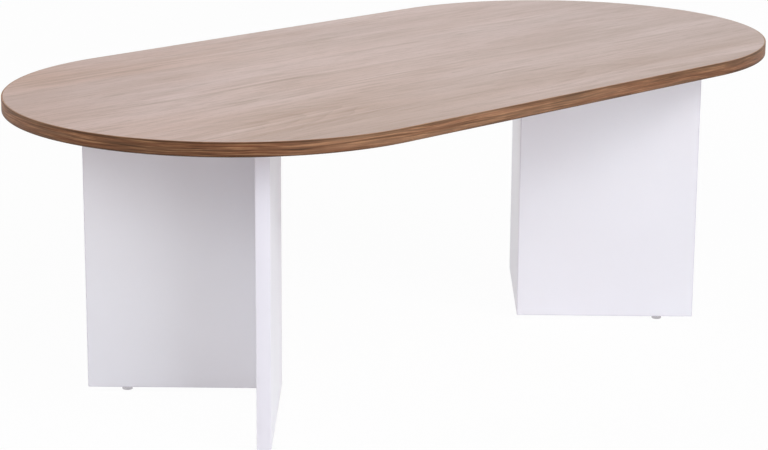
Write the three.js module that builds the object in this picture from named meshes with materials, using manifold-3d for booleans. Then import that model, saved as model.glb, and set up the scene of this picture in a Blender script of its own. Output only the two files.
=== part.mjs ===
// A low coffee table: a racetrack top of melamine-faced board with a thick plastic edge band, on two
// V-shaped legs. Each leg is two board panels that meet in a butt joint at a right angle. Its corner points
// at the table's middle and its mouth faces the table's end. Cam fittings hold the corner joints and draw
// the legs up to the top, and each panel stands on one screw-in levelling foot near its outer end.
// Millimetres. X runs along the top, Y across it and Z up. The origin is on the floor under the top's centre.
import * as THREE from "three";
import { mergeVertices } from "three/addons/utils/BufferGeometryUtils.js";
import Module from "manifold-3d";

const wasm = await Module();
wasm.setup();

// The whole table
const tableLength = 1200;
const tableWidth = 600;
const tableHeight = 413;

// The top: board, and the edge band that runs all the way round it
const topThickness = 18;
const topBandThickness = 2;
const topBandEdgeRadius = 1;

// The legs: both panels of a leg reach the same distance from its corner, which is set from the table's end
const panelThickness = 18;
const armLength = 256;
const cornerFromTableEnd = 369;
const panelBandThickness = 1;

// Levelling feet: a round base on a threaded stud, which screws into an insert nut in the panel's bottom edge
const footBaseDiameter = 14;
const footBaseHeight = 5;
const footBaseRounding = 1;
const footStudDiameter = 6;
const footStudLength = 20;
const footStudChamfer = 0.8;
const footFromArmEnd = 51;
const insertDiameter = 10;
const insertLength = 13;
const insertBarbHeight = 0.5;
const insertBarbs = 3;

// Cam fittings: the cam lies in a bore in the panel's inner face and grips the bolt's head
const camDiameter = 15;
const camHeight = 12.5;
const camRecess = 0.3;
const camFromPanelEdge = 34;
const camWallAtLock = 5.1;
const camWallAtEntry = 6.1;
const camHubRadius = 1.4;
const camSocketDiameter = 4.8;
const camSocketDepth = 2.5;
const camSocketSides = 6;
const camLockDegrees = -60;
const camEntryDegrees = 150;

// Cam bolts: head, neck, shank in the panel's edge bore, collar at the joint, and thread in the other board
const boltHeadDiameter = 6;
const boltHeadLength = 1.2;
const boltHeadTaper = 0.8;
const boltHeadCone = 1.2;
const boltNeckDiameter = 4.6;
const boltNeckLength = 4.2;
const boltShankDiameter = 6.6;
const boltShankTaper = 1;
const boltCollarDiameter = 7.6;
const boltCollarLength = 1.5;
const boltThreadDiameter = 6.2;
const boltThreadLength = 11;
const boltThreadTip = 1.5;
const boltBoreDiameter = 8;

// Cover caps over the cams
const capDiameter = 17;
const capThickness = 1.2;
const capEdgeTaper = 0.5;
const capSpigotDiameter = 3.6;
const capSpigotReach = 1.8;

// Wooden dowels across the corner joint
const dowelDiameter = 8;
const dowelLength = 35;
const dowelDepthInFace = 12;
const dowelChamfer = 1;

// Where the fittings sit along the panels
const topFittingFromPanelEnd = 50;
const cornerFittingFromPanelEnd = 90;
const dowelFromPanelEnd = 130;

// Clearances: glue lines, faces that rest on each other, bores round pressed-in pieces, threads, and the
// ends of bores
const glueGap = 0.3;
const seatGap = 0.3;
const boreGap = 0.15;
const threadGap = 0.15;
const boreEndGap = 0.5;
const cutOverrun = 1;

// Facets
const topArcSteps = 20;
const bandRoundSteps = 2;
const boreSteps = 12;
const camSteps = 18;
const camSpiralSteps = 6;
const boltSteps = 8;
const capSteps = 14;
const footSteps = 20;
const footRoundSteps = 3;

// Levels
const panelBottom = footBaseHeight;
const topUnderside = tableHeight - topThickness;
const panelTop = topUnderside;

const walnutBoard = new THREE.MeshStandardMaterial({ color: 0x9a765c, roughness: 0.42, metalness: 0 });
const walnutBand = new THREE.MeshStandardMaterial({ color: 0x7d5a41, roughness: 0.4, metalness: 0 });
const whiteBoard = new THREE.MeshStandardMaterial({ color: 0xeceaee, roughness: 0.5, metalness: 0 });
const whiteBand = new THREE.MeshStandardMaterial({ color: 0xe9e7ec, roughness: 0.45, metalness: 0 });
const whitePlastic = new THREE.MeshStandardMaterial({ color: 0xf0eff0, roughness: 0.5, metalness: 0 });
const zincCasting = new THREE.MeshStandardMaterial({ color: 0xa5a8aa, roughness: 0.45, metalness: 0.9 });
const platedSteel = new THREE.MeshStandardMaterial({ color: 0xb9bbbd, roughness: 0.3, metalness: 1 });
const beech = new THREE.MeshStandardMaterial({ color: 0xc9a577, roughness: 0.8, metalness: 0 });

// A closed geometry as a solid that can be joined and cut.
function solidOf(geometry) {
  const bare = geometry.clone();
  bare.deleteAttribute("normal");
  bare.deleteAttribute("uv");
  const merged = mergeVertices(bare);
  const mesh = new wasm.Mesh({
    numProp: 3,
    vertProperties: merged.attributes.position.array,
    triVerts: new Uint32Array(merged.index.array),
  });
  return new wasm.Manifold(mesh);
}

// A solid as a geometry.
function geometryOf(solid) {
  const { vertProperties, triVerts } = solid.getMesh();
  const geometry = new THREE.BufferGeometry();
  geometry.setAttribute("position", new THREE.BufferAttribute(new Float32Array(vertProperties), 3));
  geometry.setIndex(new THREE.BufferAttribute(new Uint32Array(triVerts), 1));
  geometry.computeVertexNormals();
  return geometry;
}

function namedMesh(name, geometry, material) {
  const mesh = new THREE.Mesh(geometry, material);
  mesh.name = name;
  return mesh;
}

// A body of revolution about Z from a profile of [radius, height] pairs, listed from its foot upwards.
function revolved(profile, steps) {
  const points = profile.map(([radius, height]) => new THREE.Vector2(radius, height));
  return new THREE.LatheGeometry(points, steps).rotateX(Math.PI / 2);
}

// A cylinder about Z from one height to another.
function roundBar(diameter, low, high) {
  const bar = new THREE.CylinderGeometry(diameter / 2, diameter / 2, high - low, boreSteps);
  return bar.rotateX(Math.PI / 2).translate(0, 0, (low + high) / 2);
}

// A box from its lowest to its highest corner.
function block([x0, y0, z0], [x1, y1, z1]) {
  const box = new THREE.BoxGeometry(x1 - x0, y1 - y0, z1 - z0);
  return box.translate((x0 + x1) / 2, (y0 + y1) / 2, (z0 + z1) / 2);
}

// The top's outline, two straight sides joined by half circles, drawn a given distance inside the outer edge.
function racetrack(inset) {
  const radius = tableWidth / 2 - inset;
  const centreX = (tableLength - tableWidth) / 2;
  const outline = new THREE.Shape();
  outline.absarc(centreX, 0, radius, -Math.PI / 2, Math.PI / 2, false);
  outline.absarc(-centreX, 0, radius, Math.PI / 2, Math.PI * 1.5, false);
  return outline;
}

function racetrackPrism(inset, low, high) {
  const options = { depth: high - low, bevelEnabled: false, curveSegments: topArcSteps };
  return new THREE.ExtrudeGeometry(racetrack(inset), options).translate(0, 0, low);
}

// The top's edge band: the outer prism with both outer edges rounded, less the space the board fills.
function topBandGeometry() {
  const rounded = new THREE.ExtrudeGeometry(racetrack(topBandEdgeRadius), {
    depth: topThickness - 2 * topBandEdgeRadius,
    bevelThickness: topBandEdgeRadius,
    bevelSize: topBandEdgeRadius,
    bevelSegments: bandRoundSteps,
    curveSegments: topArcSteps,
  }).translate(0, 0, topUnderside + topBandEdgeRadius);
  const inside = racetrackPrism(topBandThickness, topUnderside - cutOverrun, tableHeight + cutOverrun);
  return geometryOf(solidOf(rounded).subtract(solidOf(inside)));
}

// A fitting's own frame has the cam's centre at its origin, halfway through the panel. The bolt points
// along +Z to the other board, and the cam is let in from the face that lies along +Y.
const camFaceY = panelThickness / 2;
const camTopY = camFaceY - camRecess;
const camBottomY = camTopY - camHeight;
const boltTipZ = camFromPanelEdge + seatGap + boltThreadLength;

// A cylinder across the panel, about the fitting's Y.
function crossBar(diameter, low, high, steps) {
  const bar = new THREE.CylinderGeometry(diameter / 2, diameter / 2, high - low, steps);
  return bar.translate(0, (low + high) / 2, 0);
}

// A ring sector in the fitting's XZ plane, as thick as it says along Y. Angles run from +Z towards +X.
function sector(innerRadius, outerRadiusAt, low, high) {
  const angleAt = (k) => THREE.MathUtils.degToRad(
    camLockDegrees + ((camEntryDegrees - camLockDegrees) * k) / camSpiralSteps);
  const steps = Array.from({ length: camSpiralSteps + 1 }, (_, k) => k);
  const point = (radius, angle) => new THREE.Vector2(radius * Math.sin(angle), -radius * Math.cos(angle));
  const outer = steps.map((k) => point(outerRadiusAt(k / camSpiralSteps), angleAt(k)));
  const inner = steps.map((k) => point(innerRadius, angleAt(k))).reverse();
  const shape = new THREE.Shape([...outer, ...inner]);
  const prism = new THREE.ExtrudeGeometry(shape, { depth: high - low, bevelEnabled: false });
  return prism.rotateX(-Math.PI / 2).translate(0, low, 0);
}

// The cam: behind its slotted wall the bolt's head runs in a pocket whose wall spirals inwards, so that
// turning the cam draws the bolt in. The head enters by the round mouth at the wide end of the spiral.
function camGeometry() {
  const headSpace = boltHeadDiameter / 2 + seatGap;
  const neckSpace = boltNeckDiameter / 2 + seatGap;
  const outerRadius = camDiameter / 2 + cutOverrun;
  const spiral = (share) => THREE.MathUtils.lerp(camWallAtLock, camWallAtEntry, share);
  const pocket = sector(camHubRadius, spiral, camBottomY - cutOverrun, headSpace);
  const slot = sector(camHubRadius, () => outerRadius, -neckSpace, neckSpace);
  const mouth = roundBar(2 * headSpace, 0, outerRadius).rotateY(THREE.MathUtils.degToRad(camEntryDegrees));
  const socketFloor = camTopY - camSocketDepth;
  const socket = crossBar(camSocketDiameter, socketFloor, camTopY + cutOverrun, camSocketSides);
  let cam = solidOf(crossBar(camDiameter - 2 * boreGap, camBottomY, camTopY, camSteps));
  for (const cut of [pocket, slot, mouth, socket]) cam = cam.subtract(solidOf(cut));
  return geometryOf(cam);
}

// The cam bolt, from the tip of its head to the tip of its thread.
function boltGeometry() {
  const shoulder = camWallAtLock - boreGap;
  const headWide = shoulder - boltHeadCone;
  const headEnd = headWide - boltHeadLength;
  const neckEnd = shoulder + boltNeckLength;
  const collarStart = camFromPanelEdge - boltCollarLength;
  const head = boltHeadDiameter / 2;
  const neck = boltNeckDiameter / 2;
  const shank = boltShankDiameter / 2;
  const collar = boltCollarDiameter / 2;
  const thread = boltThreadDiameter / 2;
  return revolved([
    [0, headEnd - boltHeadTaper], [head - boltHeadTaper, headEnd - boltHeadTaper], [head, headEnd],
    [head, headWide], [neck, shoulder], [neck, neckEnd], [shank, neckEnd + boltShankTaper],
    [shank, collarStart], [collar, collarStart], [collar, camFromPanelEdge], [thread, camFromPanelEdge],
    [thread, boltTipZ - boltThreadTip], [thread - boltThreadTip, boltTipZ], [0, boltTipZ],
  ], boltSteps);
}

// The cover cap: a shallow disc on the panel's face with a spigot down into the cam's socket.
function capGeometry() {
  const low = camFaceY + seatGap;
  const high = low + capThickness;
  const rim = capDiameter / 2;
  const spigot = capSpigotDiameter / 2;
  const profile = [
    [0, camTopY - capSpigotReach], [spigot, camTopY - capSpigotReach], [spigot, low], [rim, low],
    [rim, high - capEdgeTaper], [rim - capEdgeTaper, high], [0, high],
  ];
  return revolved(profile, capSteps).rotateX(-Math.PI / 2);
}

// What a fitting cuts from its own panel: the cam's bore in the face, and the bolt's bore in from the edge.
function fittingBores() {
  const camBore = crossBar(camDiameter, camBottomY - boreEndGap, camFaceY + cutOverrun, camSteps);
  const boltBore = roundBar(boltBoreDiameter, 0, camFromPanelEdge + cutOverrun);
  return [camBore, boltBore];
}

// What a fitting cuts from the board that its bolt is screwed into.
function threadBore() {
  return roundBar(boltThreadDiameter + 2 * threadGap, camFromPanelEdge, boltTipZ + boreEndGap);
}

const camShape = camGeometry();
const boltShape = boltGeometry();
const capShape = capGeometry();

function fittingGroup(name, place) {
  const group = new THREE.Group();
  group.applyMatrix4(place);
  group.add(
    namedMesh(name + "_cam", camShape, zincCasting),
    namedMesh(name + "_bolt", boltShape, platedSteel),
    namedMesh(name + "_cap", capShape, whitePlastic),
  );
  return group;
}

// A leg's own frame has its outer corner at the origin. The through panel runs along +X with its inner face
// towards +Y. The butt panel runs along +Y from that face, with its own inner face towards +X.
const buttStart = panelThickness + seatGap;
const camHeightUnderTop = panelTop - camFromPanelEdge;

function throughTopPlace(x) {
  return new THREE.Matrix4().makeTranslation(x, panelThickness / 2, camHeightUnderTop);
}

function buttTopPlace(y) {
  const turned = new THREE.Matrix4().makeRotationZ(-Math.PI / 2);
  return new THREE.Matrix4().makeTranslation(panelThickness / 2, y, camHeightUnderTop).multiply(turned);
}

function cornerPlace(z) {
  const towardsThroughPanel = new THREE.Matrix4().makeBasis(
    new THREE.Vector3(0, 0, -1), new THREE.Vector3(1, 0, 0), new THREE.Vector3(0, -1, 0));
  const centre = new THREE.Matrix4().makeTranslation(panelThickness / 2, buttStart + camFromPanelEdge, z);
  return centre.multiply(towardsThroughPanel);
}

const throughFittings = [
  ["through_inner", throughTopPlace(topFittingFromPanelEnd)],
  ["through_outer", throughTopPlace(armLength - topFittingFromPanelEnd)],
];
const buttFittings = [
  ["butt_inner", buttTopPlace(buttStart + topFittingFromPanelEnd)],
  ["butt_outer", buttTopPlace(armLength - topFittingFromPanelEnd)],
];
const cornerFittings = [
  ["corner_lower", cornerPlace(panelBottom + cornerFittingFromPanelEnd)],
  ["corner_upper", cornerPlace(panelTop - cornerFittingFromPanelEnd)],
];
const dowelHeights = [
  ["lower", panelBottom + dowelFromPanelEnd],
  ["upper", panelTop - dowelFromPanelEnd],
];
const footAlongArm = armLength - footFromArmEnd;
const throughFootPlace = new THREE.Vector3(footAlongArm, panelThickness / 2, 0);
const buttFootPlace = new THREE.Vector3(panelThickness / 2, footAlongArm, 0);

// Cutters of one kind, each moved to its place.
function placed(geometries, place) {
  return geometries.map((geometry) => geometry.clone().applyMatrix4(place));
}

function cutAway(geometry, cutters) {
  return geometryOf(cutters.reduce((solid, cutter) => solid.subtract(solidOf(cutter)), solidOf(geometry)));
}

function footBores(foot) {
  const bore = roundBar(insertDiameter + 2 * boreGap, panelBottom - cutOverrun,
    panelBottom + footStudLength + boreEndGap);
  return [bore.translate(foot.x, foot.y, foot.z)];
}

// A dowel lies along the leg's Y, across the joint between the panels.
const dowelStartY = panelThickness - dowelDepthInFace;

function alongY(geometry, z) {
  return geometry.rotateX(-Math.PI / 2).translate(panelThickness / 2, 0, z);
}

function dowelBores() {
  const low = dowelStartY - boreEndGap;
  const high = dowelStartY + dowelLength + boreEndGap;
  return dowelHeights.map(([, z]) => alongY(roundBar(dowelDiameter + 2 * boreGap, low, high), z));
}

function dowelGeometry(z) {
  const radius = dowelDiameter / 2;
  const end = dowelStartY + dowelLength;
  return alongY(revolved([
    [0, dowelStartY], [radius - dowelChamfer, dowelStartY], [radius, dowelStartY + dowelChamfer],
    [radius, end - dowelChamfer], [radius - dowelChamfer, end], [0, end],
  ], boreSteps), z);
}

// The through panel's board stops short of its edging at both ends and along the bottom.
function throughPanelGeometry() {
  const skirt = panelBandThickness + glueGap;
  const board = block([skirt, 0, panelBottom + skirt], [armLength - skirt, panelThickness, panelTop]);
  return cutAway(board, [
    ...throughFittings.flatMap(([, place]) => placed(fittingBores(), place)),
    ...cornerFittings.flatMap(([, place]) => placed([threadBore()], place)),
    ...dowelBores(),
    ...footBores(throughFootPlace),
  ]);
}

function buttPanelGeometry() {
  const skirt = panelBandThickness + glueGap;
  const board = block([0, buttStart, panelBottom + skirt], [panelThickness, armLength - skirt, panelTop]);
  return cutAway(board, [
    ...[...buttFittings, ...cornerFittings].flatMap(([, place]) => placed(fittingBores(), place)),
    ...dowelBores(),
    ...footBores(buttFootPlace),
  ]);
}

// The through panel's edging covers both ends and the bottom, and is drilled for the foot.
function throughEdgingGeometry() {
  const whole = block([0, 0, panelBottom], [armLength, panelThickness, panelTop]);
  const inside = block([panelBandThickness, -cutOverrun, panelBottom + panelBandThickness],
    [armLength - panelBandThickness, panelThickness + cutOverrun, panelTop + cutOverrun]);
  return cutAway(whole, [inside, ...footBores(throughFootPlace)]);
}

// The butt panel's edging covers its free end and the bottom.
function buttEdgingGeometry() {
  const whole = block([0, buttStart, panelBottom], [panelThickness, armLength, panelTop]);
  const inside = block([-cutOverrun, buttStart - cutOverrun, panelBottom + panelBandThickness],
    [panelThickness + cutOverrun, armLength - panelBandThickness, panelTop + cutOverrun]);
  return cutAway(whole, [inside, ...footBores(buttFootPlace)]);
}

// The insert nut: a tube with barbs round its outside, flush with the panel's bottom edge.
function insertGeometry() {
  const bore = footStudDiameter / 2 + threadGap;
  const crest = insertDiameter / 2;
  const root = crest - insertBarbHeight;
  const pitch = insertLength / insertBarbs;
  const low = panelBottom + seatGap;
  const barbs = Array.from({ length: insertBarbs }, (_, k) => [
    [crest, low + k * pitch],
    [root, low + (k + 1) * pitch],
  ]).flat();
  return revolved([[bore, low], ...barbs, [bore, low + insertLength], [bore, low]], boreSteps);
}

// The levelling foot, screwed right in: its base touches the floor and its stud reaches up through the
// insert.
function footGeometry() {
  const base = footBaseDiameter / 2;
  const stud = footStudDiameter / 2;
  const baseTop = footBaseHeight - seatGap;
  const studTop = baseTop + footStudLength;
  const round = Array.from({ length: footRoundSteps + 1 }, (_, k) => {
    const angle = (k / footRoundSteps) * (Math.PI / 2);
    return [base - footBaseRounding * (1 - Math.sin(angle)), footBaseRounding * (1 - Math.cos(angle))];
  });
  return revolved([
    [0, 0], ...round, [base, baseTop], [stud, baseTop], [stud, studTop - footStudChamfer],
    [stud - footStudChamfer, studTop], [0, studTop],
  ], footSteps);
}

const insertShape = insertGeometry();
const footShape = footGeometry();

// One leg: two panels with their edging, the fittings and dowels that join them, and a foot under each.
function makeLeg(name) {
  const leg = new THREE.Group();
  leg.add(
    namedMesh(name + "_through_panel", throughPanelGeometry(), whiteBoard),
    namedMesh(name + "_through_edging", throughEdgingGeometry(), whiteBand),
    namedMesh(name + "_butt_panel", buttPanelGeometry(), whiteBoard),
    namedMesh(name + "_butt_edging", buttEdgingGeometry(), whiteBand),
  );
  for (const [fitting, place] of [...throughFittings, ...buttFittings, ...cornerFittings]) {
    leg.add(fittingGroup(name + "_" + fitting, place));
  }
  for (const [level, z] of dowelHeights) {
    leg.add(namedMesh(name + "_" + level + "_dowel", dowelGeometry(z), beech));
  }
  for (const [panel, place] of [["through", throughFootPlace], ["butt", buttFootPlace]]) {
    const insert = namedMesh(name + "_" + panel + "_insert", insertShape, zincCasting);
    const foot = namedMesh(name + "_" + panel + "_foot", footShape, platedSteel);
    insert.position.copy(place);
    foot.position.copy(place);
    leg.add(insert, foot);
  }
  return leg;
}

// The legs face opposite ways. A leg's arms run 45 degrees to either side of the line to the table's end.
const armSplay = Math.PI / 4;
const cornerFromCentre = tableLength / 2 - cornerFromTableEnd;
const leftLeg = makeLeg("left_leg");
leftLeg.position.set(-cornerFromCentre, 0, 0);
leftLeg.rotation.z = Math.PI - armSplay;
const rightLeg = makeLeg("right_leg");
rightLeg.position.set(cornerFromCentre, 0, 0);
rightLeg.rotation.z = -armSplay;

// The top's board, with a bore in its underside for each bolt that comes up out of a leg.
function topBoardGeometry() {
  const board = racetrackPrism(topBandThickness + glueGap, topUnderside, tableHeight);
  const bores = [leftLeg, rightLeg].flatMap((leg) => {
    leg.updateMatrix();
    return [...throughFittings, ...buttFittings].flatMap(([, place]) =>
      placed([threadBore()], leg.matrix.clone().multiply(place)));
  });
  return cutAway(board, bores);
}

const table = new THREE.Group();
table.add(
  namedMesh("top_board", topBoardGeometry(), walnutBoard),
  namedMesh("top_edge_band", topBandGeometry(), walnutBand),
  leftLeg,
  rightLeg,
);

export default table;
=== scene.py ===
"""A low coffee table: a walnut-faced racetrack top on two white V-shaped board legs with levelling feet.

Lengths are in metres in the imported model's frame: X along the top, Y across it, Z up, and the floor at zero.
"""
import logging
import math
from dataclasses import dataclass
from enum import Enum
from functools import partial, reduce
from typing import ClassVar

import bmesh
import bpy
import numpy as np
from mathutils import Matrix, Vector


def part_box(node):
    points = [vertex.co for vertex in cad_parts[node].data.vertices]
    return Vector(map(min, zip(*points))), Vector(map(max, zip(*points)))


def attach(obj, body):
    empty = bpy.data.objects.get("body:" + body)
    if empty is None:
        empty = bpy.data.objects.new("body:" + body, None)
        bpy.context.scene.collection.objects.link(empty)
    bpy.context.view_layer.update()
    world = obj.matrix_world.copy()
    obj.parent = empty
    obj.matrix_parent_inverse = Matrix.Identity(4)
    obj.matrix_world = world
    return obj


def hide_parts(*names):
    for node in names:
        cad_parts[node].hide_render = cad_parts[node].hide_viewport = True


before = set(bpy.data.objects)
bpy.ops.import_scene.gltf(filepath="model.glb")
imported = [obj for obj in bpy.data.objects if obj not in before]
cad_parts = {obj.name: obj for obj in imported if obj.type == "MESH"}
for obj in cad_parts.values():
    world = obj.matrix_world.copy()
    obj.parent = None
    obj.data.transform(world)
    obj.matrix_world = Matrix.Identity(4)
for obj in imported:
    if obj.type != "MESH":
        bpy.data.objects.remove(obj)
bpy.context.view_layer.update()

log = logging.getLogger("coffee_table")

Triple = tuple[float, float, float]
Tone = tuple[int, int, int]
Piece = bpy.types.Object
Node = bpy.types.Node
Socket = bpy.types.NodeSocket
Materials = dict[str, bpy.types.Material]
Distances = np.ndarray | float

TABLE_BODY = "table"
CORNER_FROM_MIDDLE = 0.231
SPLAY = math.pi / 4
SHARP_ANGLE = math.radians(32)
MERGE_DISTANCE = 1e-6
FULL_TURN = 2 * math.pi
# A thread's flank falls this many depths over half a pitch, and a pitch has this many rows of points.
THREAD_FLANK = 1.3
THREAD_ROWS = 8
NOWHERE = (0.0, 0.0, 0.0)
UPWARDS = (0.0, 0.0, 1.0)


# Surfaces

def grid_faces(rows: int, columns: int, rows_close: bool, columns_close: bool) -> np.ndarray:
    """Quads that join neighbouring points of a grid, as rows of four point numbers.

    Args:
        rows: how many points the grid has along its first index.
        columns: how many it has along its second index.
        rows_close: whether the last row joins the first.
        columns_close: whether the last column joins the first.

    Returns:
        An array of quads, one for each cell of the grid.
    """
    row = np.arange(rows if rows_close else rows - 1)[:, None]
    column = np.arange(columns if columns_close else columns - 1)[None, :]
    next_row = (row + 1) % rows
    next_column = (column + 1) % columns
    corners = [row * columns + column, row * columns + next_column,
               next_row * columns + next_column, next_row * columns + column]
    return np.stack(np.broadcast_arrays(*corners), axis=-1).reshape(-1, 4)


def loop_uvs(uv: np.ndarray) -> np.ndarray:
    """The texture coordinate of each corner of each quad, in the order of grid_faces.

    Args:
        uv: coordinates on the grid of points, with one more row or column where the grid closes on itself.

    Returns:
        A flat array of coordinate pairs.
    """
    corners = [uv[:-1, :-1], uv[:-1, 1:], uv[1:, 1:], uv[1:, :-1]]
    return np.stack(corners, axis=2).reshape(-1, 2)


def surface_object(name: str, points: np.ndarray, rows_close: bool = False, columns_close: bool = False,
                   uv: np.ndarray | None = None, capped: bool = False) -> Piece:
    """A mesh object from a grid of points.

    Args:
        name: the piece's name.
        points: an array of rows by columns by three coordinates.
        rows_close: whether the last row joins the first.
        columns_close: whether the last column joins the first.
        uv: texture coordinates for loop_uvs, or None for a piece whose pattern is solid.
        capped: whether the first and the last row are each closed by a flat face.

    Returns:
        The object, closed where its points meet, smooth but for its true edges, with its faces outwards.
    """
    rows, columns = points.shape[:2]
    faces = grid_faces(rows, columns, rows_close, columns_close)
    mesh = bpy.data.meshes.new(name)
    ends = [list(range(columns)), list(range((rows - 1) * columns, rows * columns))] if capped else []
    mesh.from_pydata(points.reshape(-1, 3).tolist(), [], faces.tolist() + ends)
    if uv is not None:
        corners = np.zeros((len(mesh.loops), 2), np.float32)
        along = loop_uvs(uv)
        corners[:len(along)] = along
        mesh.uv_layers.new(name="surface").data.foreach_set("uv", corners.ravel())
    tidy_mesh(mesh)
    return scene_object(name, mesh)


def scene_object(name: str, data: bpy.types.ID) -> Piece:
    """A new object in the scene.

    Args:
        name: its name.
        data: its mesh, lamp or camera.

    Returns:
        The object, at the origin.
    """
    made = bpy.data.objects.new(name, data)
    bpy.context.scene.collection.objects.link(made)
    return made


def smooth_between_edges(mesh: bpy.types.Mesh) -> None:
    """Smooth a mesh but for its true edges."""
    mesh.shade_smooth()
    mesh.set_sharp_from_angle(angle=SHARP_ANGLE)


def tidy_mesh(mesh: bpy.types.Mesh) -> None:
    """Merge a mesh's doubled points, turn its faces outwards and smooth it between its true edges.

    Args:
        mesh: the mesh to finish.
    """
    work = bmesh.new()
    work.from_mesh(mesh)
    bmesh.ops.remove_doubles(work, verts=work.verts, dist=MERGE_DISTANCE)
    bmesh.ops.recalc_face_normals(work, faces=work.faces)
    work.to_mesh(mesh)
    work.free()
    smooth_between_edges(mesh)


def drill(piece: Piece, cutters: list[Piece]) -> None:
    """Cut holes out of a piece and discard the solids that cut them.

    Args:
        piece: the piece to drill.
        cutters: closed solids in the places of the holes.
    """
    for cutter in cutters:
        cut = piece.modifiers.new("hole", "BOOLEAN")
        cut.object = cutter
        cut.operation = "DIFFERENCE"
        cut.solver = "EXACT"
    graph = bpy.context.evaluated_depsgraph_get()
    drilled = bpy.data.meshes.new_from_object(piece.evaluated_get(graph))
    piece.modifiers.clear()
    piece.data = drilled
    smooth_between_edges(drilled)
    for cutter in cutters:
        bpy.data.objects.remove(cutter)


def quarter_round(radius: float, steps: int) -> tuple[np.ndarray, np.ndarray]:
    """How far a rounded corner stands from the sharp one, along its two sides.

    A quarter circle: the two distances are radius times one less the cosine and one less the sine.

    Args:
        radius: the rounding.
        steps: how many facets it has.

    Returns:
        The distances from the first and from the second side's line.
    """
    angle = np.linspace(0, math.pi / 2, steps + 1)
    return radius * (1 - np.cos(angle)), radius * (1 - np.sin(angle))


@dataclass(frozen=True)
class Axes:
    """A place for a piece that was drawn in its own frame, as an origin and three unit directions."""

    origin: Triple
    along: Triple
    across: Triple
    up: Triple = UPWARDS

    def moved(self, along: float = 0.0, across: float = 0.0, up: float = 0.0) -> "Axes":
        """The same directions from another place."""
        return Axes(tuple(self.point(along, across, up).tolist()), self.along, self.across, self.up)

    def swapped(self) -> "Axes":
        """The same place with its second and third directions changed over."""
        return Axes(self.origin, self.along, self.up, self.across)

    def matrix(self) -> Matrix:
        """The same place as a matrix, whose columns are the directions and the origin."""
        turn = Matrix((self.along, self.across, self.up)).transposed()
        return Matrix.Translation(self.origin) @ turn.to_4x4()

    def point(self, along: Distances, across: Distances, up: Distances) -> np.ndarray:
        """The places of points: the origin plus each distance times its direction.

        Args:
            along: distances along the first direction.
            across: distances along the second.
            up: distances along the third.

        Returns:
            An array with three coordinates in its last index.
        """
        along, across, up = np.broadcast_arrays(along, across, up)
        return (np.array(self.origin) + along[..., None] * np.array(self.along)
                + across[..., None] * np.array(self.across) + up[..., None] * np.array(self.up))


def turned(name: str, profile: np.ndarray, axes: Axes, segments: int, ripple: np.ndarray | None = None,
           ring: bool = False) -> Piece:
    """A body of revolution about the second direction of its axes.

    Each profile point is carried round a circle of its radius, to which a ripple may add.

    Args:
        name: the piece's name.
        profile: rows of radius and height, from the foot of the body to its top.
        axes: where the body stands; its height runs along the across direction.
        segments: how many facets go round.
        ripple: what is added to the radius at each profile point and segment, or None.
        ring: whether the profile closes on itself round a bore.

    Returns:
        The closed object, with its way round the widest circle and its height as coordinates.
    """
    angle = np.arange(segments) * FULL_TURN / segments
    radius = np.repeat(profile[:, :1], segments, axis=1)
    if ripple is not None:
        radius = radius + ripple
    points = axes.point(radius * np.cos(angle), profile[:, 1:], radius * np.sin(angle))
    height = np.append(profile[:, 1], profile[:1, 1]) if ring else profile[:, 1]
    lap = np.linspace(0, FULL_TURN * profile[:, 0].max(), segments + 1)
    uv = np.stack(np.meshgrid(lap, height), axis=-1)
    return surface_object(name, points, rows_close=ring, columns_close=True, uv=uv)


def prism(name: str, outline: np.ndarray, low: float, high: float, axes: Axes) -> Piece:
    """A flat outline carried along the second direction of its axes.

    Args:
        name: the piece's name.
        outline: rows with a distance along the first and along the third direction.
        low: where it starts.
        high: where it ends.
        axes: where the piece stands.

    Returns:
        The closed object.
    """
    points = np.stack([axes.point(outline[:, 0], level, outline[:, 1]) for level in (low, high)])
    return surface_object(name, points, columns_close=True, capped=True)


def screw_thread(height: np.ndarray, pitch: float, depth: float, segments: int) -> np.ndarray:
    """How deep a single thread is cut under its crest, at each height and segment.

    The phase is the height in pitches less the segment's share of a turn. The cut is nothing in the middle of
    a phase, grows in a straight line to either side of it and keeps its full depth across the root. It starts
    from nothing over the first pitch.

    Args:
        height: the rows' heights.
        pitch: how far the thread climbs in a turn.
        depth: the depth of its root.
        segments: how many facets go round.

    Returns:
        An array of rows by segments.
    """
    turn = np.arange(segments) / segments
    phase = (height[:, None] / pitch - turn[None, :]) % 1.0
    flank = np.clip(THREAD_FLANK * np.abs(2 * phase - 1), 0, 1)
    fade = np.clip(np.abs(height - height[0]) / pitch, 0, 1)[:, None]
    return depth * flank * fade


# Finishes

# Of a Mix node's sockets, those for colours come after those for numbers and vectors.
MIX_FIRST = 6
MIX_SECOND = 7
MIX_RESULT = 2
ASIDE = (0.0, 1.0, 0.0)
WHITE = (255, 255, 255)
NOISE_RANGE = (0.3, 0.7)


class Coordinates(Enum):
    """Where a finish reads its pattern's place from."""

    OBJECT = "Object"
    SURFACE = "UV"


@dataclass(frozen=True)
class Grain:
    """A kind of noise: its cycles per metre along X, Y and Z, its finer layers and how strong they are."""

    cycles: Triple
    detail: float = 2.0
    roughness: float = 0.5


@dataclass(frozen=True)
class Ramp:
    """What values from low to high become: a straight line from start to end, and level beyond both."""

    low: float
    high: float
    start: float = 0.0
    end: float = 1.0


@dataclass(frozen=True)
class Relief:
    """How many metres a texture stands proud, and the share of its tilt that shows."""

    depth: float
    strength: float


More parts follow.
